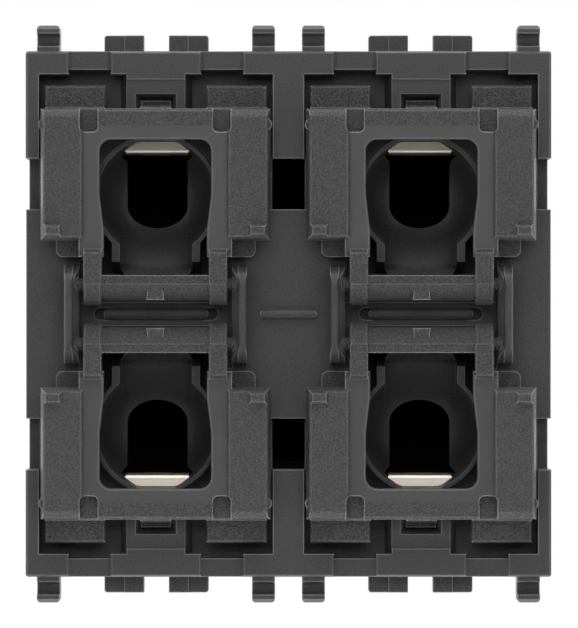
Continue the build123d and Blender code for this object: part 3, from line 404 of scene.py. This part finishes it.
def closed_piece(name, shells, slot):
    """Make one mesh of shells, each turned to look outwards."""
    points, faces = [], []
    for shell, quads, caps in shells:
        step = -1 if signed_volume(shell - shell.mean(axis=0), quads, caps) < 0 else 1
        start = sum(map(len, points))
        faces += (quads[:, ::step] + start).tolist()
        faces += [(ring[::step] + start).tolist() for ring in caps]
        points.append(shell)
    mesh = bpy.data.meshes.new(name)
    mesh.from_pydata((np.vstack(points) * MM).tolist(), [], faces)
    mesh.polygons.foreach_set("use_smooth", np.ones(len(faces), dtype=bool))
    mesh.set_sharp_from_angle(angle=SHARP_ANGLE)
    mesh.materials.append(finishes[slot])
    piece = bpy.data.objects.new(name, mesh)
    bpy.context.scene.collection.objects.link(piece)
    return piece


print("quarters:", ", ".join(QUARTERS))

# %% [markdown]
# ## Bent strips
#
# Contacts are stamped flat and then bent, and real sheet never has a sharp bend. A curve object
# with a profile could make such a strip, but the stamped blank also changes its width along the
# way. So the strip is a profile carried along a path: the path is a centre line with round
# corners, and the profile a thin rectangle with broken edges, as wide at each point of the path
# as the blank.

# %% Helpers for bent strips
def bent_path(corners, radius, steps=10):
    """Points and tangents of straight runs between corners, with an arc at each right angle.

    An arc about its centre is centre + r (sin t d1 - cos t d2), with d1 the way in and d2 the
    way out.
    """
    runs = np.diff(corners, axis=0)
    ways = runs / np.linalg.norm(runs, axis=1, keepdims=True)
    t = np.linspace(0.0, math.pi / 2, steps)[:, None]
    points, tangents = [corners[:1]], [ways[:1]]
    for corner, way_in, way_out in zip(corners[1:-1], ways[:-1], ways[1:]):
        centre = corner + radius * (way_out - way_in)
        points.append(centre + radius * (np.sin(t) * way_in - np.cos(t) * way_out))
        tangents.append(np.cos(t) * way_in + np.sin(t) * way_out)
    return np.vstack(points + [corners[-1:]]), np.vstack(tangents + [ways[-1:]])


def strip_profile(half_width, half_thick, broken=0.05):
    """A rectangle with broken corners: x and n of its eight points, for an array of half widths."""
    side = np.array([1, 1, 1, -1, -1, -1, -1, 1])
    up = np.array([-1, 1, 1, 1, 1, -1, -1, -1])
    cut_side = broken * np.array([0, 0, 1, 1, 0, 0, 1, 1])
    cut_up = broken - cut_side
    return side * (half_width[:, None] - cut_side), up * (half_thick - cut_up)


def bent_strip(corners, radius, blank, thick, spacing=0.5):
    """A shell: thin rectangles carried along the bent path, each as wide as the blank there.

    Corners are (level, z). Each row of the blank is a distance along the path and the x of its left
    and right edge there.
    """
    line, heading = bent_path(corners, radius)
    steps = np.linalg.norm(np.diff(line, axis=0), axis=1)
    along = np.concatenate([[0.0], np.cumsum(steps)])
    turns = blank[(blank[:, 0] > 0) & (blank[:, 0] < along[-1]), 0]
    evenly = np.arange(0.0, along[-1] - spacing / 2, spacing)
    stops = np.union1d(np.union1d(along, turns), evenly)
    line = np.column_stack([np.interp(stops, along, column) for column in line.T])
    heading = np.column_stack([np.interp(stops, along, column) for column in heading.T])
    heading /= np.linalg.norm(heading, axis=1, keepdims=True)
    left, right = (np.interp(stops, blank[:, 0], blank[:, k]) for k in (1, 2))
    across, through = strip_profile((right - left) / 2, thick / 2)
    return swept(np.stack([across + (left + right)[:, None] / 2,
                           line[:, :1] - through * heading[:, 1:],
                           line[:, 1:] + through * heading[:, :1]], axis=-1))


print("strip helpers ready")

# %% [markdown]
# ## Lamp contacts
#
# At the outer end of each lamp slot a nickel-plated strip lies on the rim, bends round it into
# the slot, and bends out again behind the cup. Its bend is the brightest thing in the socket. A
# box with its edges bevelled would show that bend, but not the rounded shoulders of the blank,
# so it is the first of the bent strips.

# %% Lamp contact strips
CONTACT_THICK, CONTACT_BEND = 0.35, 0.20
# Levels and places of the strip's middle line, half a thickness inside the faces that it lies on.
LIP_LEVEL, FOOT_LEVEL = 4.7 + CONTACT_THICK / 2, 9.1 - CONTACT_THICK / 2
WALL, LIP_END, FOOT_END = 13.73 + CONTACT_THICK / 2, 14.82, 16.8
# Distance along the strip and the half width of the blank there.
CONTACT_BLANK = np.array([(0.0, 1.55), (0.52, 2.87), (0.66, 2.87), (0.86, 2.72), (3.3, 2.72),
                          (3.32, 1.20), (9.0, 1.20)])

corners = np.array([(LIP_LEVEL, LIP_END), (LIP_LEVEL, WALL), (FOOT_LEVEL, WALL),
                    (FOOT_LEVEL, FOOT_END)])
blank = np.column_stack([CONTACT_BLANK[:, 0], -CONTACT_BLANK[:, 1], CONTACT_BLANK[:, 1]])
strip = bent_strip(corners, CONTACT_BEND, blank, CONTACT_THICK)
for quarter, (hand, turn) in QUARTERS.items():
    shells = [placed(strip, hand, turn)]
    contact = closed_piece(f"bent_lamp_contact_{quarter}", shells, "contact_nickel")
    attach(contact, "base")
    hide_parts(f"lamp_contact_{quarter}")
print("lamp contacts:", len(contact.data.polygons), "faces each")

# %% [markdown]
# ## Contact blades
#
# Each lever presses a blade of spring bronze, held at its root on the common bar, until the
# button at its tip meets the button of the fixed contact. The blade could be a long box, but a
# real blade bends, and a box has no points between its ends. So it is a strip with rings close
# enough to bend smoothly, and a turned button.

# %% Shape of the contact blades
BLADE_LEVEL, BLADE_THICK, BLADE_HALF, BLADE_BROKEN = 6.125, 0.25, 0.9, 0.03
BLADE_ROOT, BLADE_TIP, BLADE_MIDDLE = 0.3 - MODULE, 1.0, 17.115
BUTTON_RADIUS, BUTTON_EDGE = 0.8, 0.08
BLADE_BUTTON = (6.2, 6.65)  # levels of its root and its top


def contact_button(root, top, steps=40):
    """A shell: a rim (radius, level) with a broken edge, turned round the middle of the module."""
    edge = top - math.copysign(BUTTON_EDGE, top - root)
    rim = [(BUTTON_RADIUS, root), (BUTTON_RADIUS, edge), (BUTTON_RADIUS - BUTTON_EDGE, top)]
    radius, level = np.array(rim).T
    turn = np.linspace(0.0, 2 * math.pi, steps, endpoint=False)
    return swept(np.stack([np.outer(radius, np.cos(turn)),
                           np.repeat(level[:, None], steps, axis=1),
                           BLADE_MIDDLE + np.outer(radius, np.sin(turn))], axis=-1))


def blade_strip(stations=61):
    """A shell: one thin rectangle carried straight from the blade's root to its tip."""
    x = np.linspace(BLADE_ROOT, BLADE_TIP, stations)
    half = np.full(stations, BLADE_HALF)
    side, through = strip_profile(half, BLADE_THICK / 2, BLADE_BROKEN)
    return swept(np.stack([np.repeat(x[:, None], side.shape[1], axis=1),
                           BLADE_LEVEL + np.broadcast_to(through, side.shape),
                           BLADE_MIDDLE + side], axis=-1))


blade_shells = [blade_strip(), contact_button(*BLADE_BUTTON)]
print("blade:", sum(len(shell[0]) for shell in blade_shells), "points")

# %% [markdown]
# ## Fixed contacts
#
# Behind each blade's tip a brass plate carries the second button, and its tail bends back to the
# terminal block. Plate and tail could be two boxes, but they are stamped from one sheet, so they
# are one bent strip, whose blank is wide at the plate and narrower at the tail.

# %% Shape of the fixed contacts
PLATE_LEVEL, PLATE_EDGE, PLATE_THICK, PLATE_BEND = 8.35, 16.215, 0.8, 0.45
TAIL_WALL, TAIL_FOOT, TAIL_END = 17.615, 18.5, 15.0
FIXED_BUTTON = (8.0, 7.55)
# Distance along the fixed contact and its edges there: a wide plate, then a narrower tail.
PLATE_BLANK = np.array([(0.0, -1.0, 3.7), (0.92, -1.0, 3.7), (0.94, 0.7, 3.7), (20.0, 0.7, 3.7)])

corners = np.array([(PLATE_LEVEL, PLATE_EDGE), (PLATE_LEVEL, TAIL_WALL), (TAIL_FOOT, TAIL_WALL),
                    (TAIL_FOOT, TAIL_END)])
plate = bent_strip(corners, PLATE_BEND, PLATE_BLANK, PLATE_THICK)
fixed_shells = [plate, contact_button(*FIXED_BUTTON)]
print("fixed contact:", sum(len(shell[0]) for shell in fixed_shells), "points")

# %% [markdown]
# ## Blades and fixed contacts in place
#
# In the mechanical model blade and fixed contact are rigid, and a pressed lever would cut into
# them. A lever that is pressed home moves a little further than the gap between the buttons.
# Here each quarter gets its new blade and fixed contact, and the model's own pieces are hidden.

# %% Blades and fixed contacts
for quarter, (hand, turn) in QUARTERS.items():
    shells = [placed(shell, hand, turn) for shell in blade_shells]
    blade = closed_piece(f"sprung_blade_{quarter}", shells, "spring_bronze")
    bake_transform(blade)
    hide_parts(f"contact_blade_{quarter}")
    shells = [placed(shell, hand, turn) for shell in fixed_shells]
    fixed = closed_piece(f"bent_fixed_contact_{quarter}", shells, "contact_brass")
    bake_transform(fixed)
    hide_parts(f"fixed_contact_{quarter}")
print("blades:", len(blade.data.polygons), "faces each")
print("fixed contacts:", len(fixed.data.polygons), "faces each")

# %% [markdown]
# ## Throats of the lamp cups
#
# Below the lamp slot, the bowl of each cup runs out into a tongue towards the hinge, in one
# smooth moulded scoop. The mechanical model has it as two flat ramps, whose creases would show
# as hard lines. A fillet could be cut there, but the scoop changes its section all the way. As
# a surface it is simple: along the tongue the level follows an S-curve from the bowl's floor to
# the tongue's end, and across it the sides rise like a flattened half ellipse. It lies a fifth
# of a millimetre over the ramps and dips under the bowl where the two meet, so it reads as one
# moulding with the cup.

# %% Shape of the throats
CUP_MIDDLE, CUP_RIM, BOWL_FLOOR = 9.95, 0.5, 6.6
BOWL_RADIUS, FLOOR_RADIUS = 5.05, 2.75
SLOT_MIDDLE, SLOT_ROUND, SLOT_SIDE = 9.35, 1.95, 2.6
TONGUE_END, TONGUE_CORNER, TONGUE_LEVEL = 3.27, 0.7, 4.3
THROAT_HALF, THROAT_TOP = 3.05, 8.5
RAMP_START, RAMP_END, RAMP_FOOT = 3.9, 8.0, BOWL_FLOOR + 0.04
END_LIP, LIP_REACH = 0.09, 0.2  # the tongue's end dips a little, which rounds its edge
END_RISE, MORE_RISE, RISE_START, RISE_END = 0.95, 0.55, 3.8, 4.3  # of the sides over the middle
BOWL_JOIN, BOWL_DIP = 6.0, 0.03  # from here on, the sides stay this far under the bowl
PLAY, CORNER_PLAY = 0.02, 0.05  # kept from the slot and from the tongue's round corners


def ease(value, low, high):
    """Smooth step 3 t^2 - 2 t^3 from 0 at low to 1 at high."""
    t = np.clip((value - low) / (high - low), 0.0, 1.0)
    return t * t * (3 - 2 * t)


def bowl_level(x, z):
    """Level of the bowl: flat to the floor radius, then a turned quarter ellipse up to the rim."""
    radius = np.hypot(x, z - CUP_MIDDLE)
    out = np.clip((radius - FLOOR_RADIUS) / (BOWL_RADIUS - FLOOR_RADIUS), 0.0, 1.0)
    return CUP_RIM + (BOWL_FLOOR - CUP_RIM) * np.sqrt(1 - out**2)


def throat_surface(columns=61, rows=81):
    """Points (x, level, z) over u across and v along the throat.

    z runs from the tongue's end to the rim of the slot, x = u times the half width there, which is
    rounded at the end like the tongue, and level = S-curve(z) - rise(z) (1 - sqrt(1 - |u|^3)).
    """
    u = np.sin(np.linspace(-math.pi / 2, math.pi / 2, columns))[None]
    v = np.linspace(0.0, 1.0, rows)[:, None]
    arch = np.sqrt(np.clip(1 - (u * THROAT_HALF / SLOT_SIDE) ** 2, 0.0, 1.0))
    slot_rim = SLOT_MIDDLE - SLOT_ROUND * arch
    z = TONGUE_END + v * (np.minimum(slot_rim - PLAY, THROAT_TOP) - TONGUE_END)
    corner = np.clip(TONGUE_END - PLAY + TONGUE_CORNER - z, 0.0, TONGUE_CORNER)
    half = THROAT_HALF - TONGUE_CORNER + np.sqrt(TONGUE_CORNER**2 - corner**2)
    x = u * (half - CORNER_PLAY * (corner > 0))
    middle = TONGUE_LEVEL + (RAMP_FOOT - TONGUE_LEVEL) * ease(z, RAMP_START, RAMP_END)
    middle = middle + END_LIP * np.clip(1 - (z - TONGUE_END) / LIP_REACH, 0.0, 1.0) ** 2
    rise = END_RISE + MORE_RISE * ease(z, RISE_START, RISE_END)
    to_bowl = middle - bowl_level(THROAT_HALF, z) - BOWL_DIP
    rise = np.where(z < BOWL_JOIN, rise, np.minimum(rise, to_bowl))
    level = middle - rise * (1 - np.sqrt(1 - np.abs(u) ** 3))
    return np.stack([x, level, z], axis=-1)


front = throat_surface()
print("throat levels from", front[..., 1].min().round(2), "to", front[..., 1].max().round(2), "mm")

# %% [markdown]
# ## Closing the throats
#
# A single sheet would have no thickness and an open border. A Solidify modifier could give it a
# wall, but here the second side is only the first one pushed back, and a band of quads round
# both borders closes the shell, so the throat is as solid as the moulding it stands for.

# %% Smooth throats
THROAT_THICK = 0.5
points = np.stack([front, front + (0.0, THROAT_THICK, 0.0)]).reshape(-1, 3)
grids = np.arange(len(points)).reshape(2, *front.shape[:2])
over = join_grid(grids[0])
under = join_grid(grids[1])[:, ::-1]
walls = join_rings(np.stack([grid_border(grid) for grid in grids]))[:, ::-1]
throat_shell = (points, np.vstack([over, under, walls]), [])
for quarter, (hand, turn) in QUARTERS.items():
    shells = [placed(throat_shell, hand, turn)]
    throat = closed_piece(f"lamp_cup_throat_{quarter}", shells, "cup_plastic")
    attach(throat, "base")
print("throats:", len(throat.data.polygons), "faces each, volume",
      round(signed_volume(*throat_shell), 2), "mm3")

# %% [markdown]
# ## Terminal screws
#
# The wires are clamped from the back by six slotted screws. A screw is nearly a surface of
# revolution, apart from its slot and its thread, and a slot could be cut with a Boolean
# modifier, which leaves ragged faces. So the top of the head is a disc laid out in straight
# rows along the slot, and the slot's walls stay straight; its rim then carries on as rings
# round the axis. Below the head the radius also depends on the angle, and that makes a thread.

# %% Shape of a slotted screw
HEAD_RADIUS, HEAD_BACK, HEAD_FRONT = 2.4, 28.4, 26.9
HEAD_HIGH = HEAD_BACK - HEAD_FRONT
RIM_ROUND, CROWN, LAST_ROW = 0.28, 0.12, math.radians(76)
UNDER_EDGE, UNDER_SHARE = 0.06, 0.08  # the broken lower edge: width, and share of the height
SLOT_HALF, SLOT_FLOOR_HALF, SLOT_DEPTH = 0.36, 0.33, 0.7
NECK_RADIUS, SHANK_RADIUS, TIP_RADIUS = 1.5, 1.45, 1.05
NECK, POINT, TIP = 0.05, 0.3, 23.0  # lengths of the neck and the point, and the level of the tip
THREAD_PITCH, THREAD_DEPTH, RINGS_PER_TURN = 0.5, 0.26, 7


def head_top(columns=11, rows=8):
    """The head's top as a grid of points (p, level, q), p along the slot and q across it.

    p = v sqrt(R^2 - q^2) in the row at distance q from the axis. The outermost rows lie on the
    circle, the level falls with the square of the radius, and the two middle rows are the floor of
    the slot.
    """
    disc = HEAD_RADIUS - RIM_ROUND
    lobe = disc * np.sin(np.linspace(math.asin(SLOT_HALF / disc), LAST_ROW, rows))
    q = np.concatenate([-lobe[::-1], [-SLOT_FLOOR_HALF, SLOT_FLOOR_HALF], lobe])
    sunk = np.abs(q) <= SLOT_FLOOR_HALF
    v = np.linspace(-1.0, 1.0, columns)
    p = v[None] * np.sqrt(disc**2 - q**2)[:, None]
    q = np.repeat(q[:, None], columns, axis=1)
    q[0], q[-1] = -np.sqrt(disc**2 - p[0] ** 2), np.sqrt(disc**2 - p[-1] ** 2)
    level = HEAD_BACK - CROWN * (p**2 + q**2) / disc**2 - SLOT_DEPTH * sunk[:, None]
    return np.stack([p, level, q], axis=-1)


def screw_rings(angle, top):
    """Rings of points below the rim, from the head's rounded edge to the tip of the shank.

    The rim's points are given by their angle and their level, top. The head's rings share out the
    level between the rim and the head's front. On the shank,
    r = r0 - a fade(y) (1 - cos(angle - 2 pi y / pitch)) / 2.
    """
    bend = np.radians([30.0, 60.0, 90.0])
    head_r = np.concatenate([HEAD_RADIUS - RIM_ROUND * (1 - np.sin(bend)),
                             [HEAD_RADIUS, HEAD_RADIUS - UNDER_EDGE, NECK_RADIUS]])
    share = np.concatenate([1 - RIM_ROUND / HEAD_HIGH * (1 - np.cos(bend)),
                            [UNDER_SHARE, 0.0, 0.0]])
    head_y = HEAD_FRONT + share[:, None] * (top - HEAD_FRONT)
    y = np.arange(HEAD_FRONT - NECK, TIP + POINT, -THREAD_PITCH / RINGS_PER_TURN)[:, None]
    fade = np.clip((HEAD_FRONT - y) / THREAD_PITCH, 0, 1) * np.clip((y - TIP) / THREAD_PITCH, 0, 1)
    groove = THREAD_DEPTH * fade * (1 - np.cos(angle - 2 * math.pi * y / THREAD_PITCH)) / 2
    whole = np.ones_like(angle)[None]
    ring_r = np.vstack([head_r[:, None] * whole, SHANK_RADIUS - groove, TIP_RADIUS * whole])
    ring_y = np.vstack([head_y, y * whole, TIP * whole])
    return np.stack([ring_r * np.cos(angle), ring_y, ring_r * np.sin(angle)], axis=-1)


head = head_top()
print("screw head:", head.shape[0], "rows of", head.shape[1], "points")

# %% [markdown]
# ## Six screws in one piece
#
# All six screws are alike and ride on the same body, so they are one piece, as in the
# mechanical model. The head's grid and the rings below it share the points of the rim, which
# closes the seam between them, and the shell is then set down at each of the six places.

# %% Slotted screws
SCREW_COLUMNS, SCREW_ROWS = (-13.5, 0.0, 13.5), (-16.35, 16.35)
grid = np.arange(head[..., 0].size).reshape(head.shape[:2])
rim = grid_border(grid)
p, level, q = head.reshape(-1, 3)[rim].T
rings = screw_rings(np.arctan2(q, p), level)
loops = np.vstack([rim, grid.size + np.arange(rings[..., 0].size).reshape(rings.shape[:2])])
points = np.vstack([head.reshape(-1, 3), rings.reshape(-1, 3)])
quads = np.vstack([join_grid(grid), join_rings(loops)[:, ::-1]])
tip = loops[-1][::-1]
shells = [(points + (x, 0.0, z), quads, [tip]) for x in SCREW_COLUMNS for z in SCREW_ROWS]
screws = closed_piece("slotted_terminal_screws", shells, "screw_steel")
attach(screws, "base")
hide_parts("terminal_screws")
print("screws:", len(screws.data.polygons), "faces in all, volume of one",
      round(signed_volume(points, quads, [tip]), 2), "mm3")

# %% [markdown]
# ## Camera
#
# The picture is taken straight on from the front, from about half a metre, so far away that the
# levers' sides hardly show. An orthographic camera would not show them at all, so it is a long
# lens at that distance. The width of the view at the front of the frame sets the lens: sensor
# width times distance over view width.

# %% Camera
VIEW_DISTANCE = 500 * MM
VIEW_WIDTH = 49.25 * MM
VIEW_MIDDLE = 0.045 * MM
camera_data = bpy.data.cameras.new("front_camera")
camera_data.sensor_fit = "HORIZONTAL"
camera_data.sensor_width = 36.0
camera_data.lens = camera_data.sensor_width * VIEW_DISTANCE / VIEW_WIDTH
camera = bpy.data.objects.new("front_camera", camera_data)
camera.location = (VIEW_MIDDLE, -VIEW_DISTANCE, 0.0)
camera.rotation_euler = (math.pi / 2, 0.0, 0.0)
bpy.context.scene.collection.objects.link(camera)
bpy.context.scene.camera = camera
print("lens", round(camera_data.lens, 1), "mm")

# %% [markdown]
# ## Studio light
#
# Edges that slope at 45 degrees mirror whatever is straight above or below, so a soft light
# overhead and a weaker one near the floor draw the bright upper and lower rims. The faces that
# look at the camera take their tone from a high light in front, from a wide front light above
# the lens and from the room. Two panels beside the switch and one behind it stay behind its
# front plane: they only show the sides and the back in other views. One picture of a studio
# could light all of this, but single lights can be placed and weighed one by one. All of them
# are soft, and together they leave a colour about as it was written.

# %% Lights
LIGHTS = {  # place, width and height in metres, and power in watts
    "overhead_light": ((0.0, 0.045, 0.42), (0.50, 0.14), 1.95),
    "high_light": ((0.0, -0.21, 0.395), (0.24, 0.20), 1.1),
    "front_light": ((0.0, -0.455, 0.145), (0.40, 0.18), 0.82),
    "floor_light": ((0.0, 0.0, -0.115), (0.14, 0.03), 0.12),
    "left_light": ((-0.45, 0.14, 0.10), (0.50, 0.45), 1.2),
    "right_light": ((0.45, 0.14, 0.10), (0.50, 0.45), 1.2),
    "back_light": ((0.0, 0.50, 0.22), (0.90, 0.60), 1.6),
}


def soft_light(name, place, size, watts):
    """A rectangular area light at place, turned to the switch; size is its width and height."""
    data = bpy.data.lights.new(name, "AREA")
    data.shape = "RECTANGLE"
    data.size, data.size_y = size
    data.energy = watts
    lamp = bpy.data.objects.new(name, data)
    lamp.location = place
    x, y, z = place
    reach = math.hypot(x, y)
    lamp.rotation_euler = (math.atan2(reach, z), 0.0, math.atan2(x, -y) if reach else 0.0)
    lamp.visible_camera = False
    bpy.context.scene.collection.objects.link(lamp)


for name, (place, size, watts) in LIGHTS.items():
    soft_light(name, place, size, watts)
print("lights:", ", ".join(LIGHTS))

# %% [markdown]
# ## Room
#
# The background is plain white, as in a catalogue. A white wall behind the switch could give
# that, but it would show its edges from other sides. So the world is white to the camera and in
# reflections, and much dimmer as a light, and the white never washes out the switch.

# %% World
ROOM_LIGHT = 0.11
world = bpy.data.worlds.new("studio")
world.use_nodes = True
bpy.context.scene.world = world
room = world.node_tree
rays = add_node(room, "ShaderNodeLightPath").outputs
seen = math_node(room, "MAXIMUM", rays["Is Camera Ray"], rays["Is Glossy Ray"])
seen = math_node(room, "MAXIMUM", seen, rays["Is Transmission Ray"])
fill(room, room.nodes["Background"], {"Color": (1.0, 1.0, 1.0, 1.0),
                                      "Strength": remap(room, seen, UNIT, (ROOM_LIGHT, 1.0))})
bpy.context.scene.view_settings.view_transform = "Standard"
print("room light", ROOM_LIGHT)

# %% [markdown]
# ## Floor
#
# A sheet of pale paper lies below the switch. Plain paper would show as a grey wedge in views
# from above. Part of what the camera sees of it is therefore plain white, and more of it
# further out, until the paper runs into the background. The rest is ordinary paper, which still
# takes the shadow.

# %% Floor
SQUARE = np.array([(-1, -1), (1, -1), (1, 1), (-1, 1)])
FLOOR_LEVEL, FLOOR_REACH = -120 * MM, 450 * MM
FLOOR_WHITE, FADE_SPAN = 0.6, (0.15, 0.40)  # white near the switch, and where it grows to one


def flat_sheet(name, corners, material):
    """One face through four corners, which run anticlockwise as seen from its front."""
    mesh = bpy.data.meshes.new(name)
    mesh.from_pydata(corners.tolist(), [], [(0, 1, 2, 3)])
    mesh.materials.append(material)
    sheet = bpy.data.objects.new(name, mesh)
    bpy.context.scene.collection.objects.link(sheet)
    return sheet


paper, tree, shader = new_material("pale_paper")
fill(tree, shader, {"Base Color": (0.86, 0.86, 0.85, 1.0), "Roughness": 0.8})
to_camera = add_node(tree, "ShaderNodeLightPath").outputs["Is Camera Ray"]
place = add_node(tree, "ShaderNodeTexCoord").outputs["Object"]
away = add_node(tree, "ShaderNodeVectorMath", {0: place}, operation="LENGTH").outputs["Value"]
white = remap(tree, away, FADE_SPAN, (FLOOR_WHITE, 1.0), interpolation_type="SMOOTHSTEP")
glow = add_node(tree, "ShaderNodeEmission").outputs["Emission"]
lit = add_node(tree, "ShaderNodeMixShader", {0: math_node(tree, "MULTIPLY", to_camera, white),
                                             1: shader.outputs["BSDF"], 2: glow})
fill(tree, tree.nodes["Material Output"], {"Surface": lit.outputs["Shader"]})
corners = np.column_stack([FLOOR_REACH * SQUARE, np.full(4, FLOOR_LEVEL)])
floor = flat_sheet("floor", corners, paper)
print("floor at", FLOOR_LEVEL)

# %% [markdown]
# ## A dark card behind the camera
#
# In a studio, whoever stands behind the camera is dark, and that is what flat faces mirror back
# to the lens. Without it, deep sockets and the metal strips would shine white. A darker world
# would help too, but it would take the white from the background. A black card does it here: it
# takes part in reflections only, and casts no shadow.

# %% Dark card
CARD_REACH, CARD_PLACE = 0.28, -0.62
cloth, tree, shader = new_material("black_cloth")
fill(tree, shader, {"Base Color": (0.01, 0.01, 0.01, 1.0), "Roughness": 1.0,
                    "Specular IOR Level": 0.0})
across, up = CARD_REACH * SQUARE[::-1].T
card = flat_sheet("dark_card", np.column_stack([across, np.full(4, CARD_PLACE), up]), cloth)
card.visible_camera = False
card.visible_diffuse = False
card.visible_transmission = False
card.visible_shadow = False
print("card behind the camera")
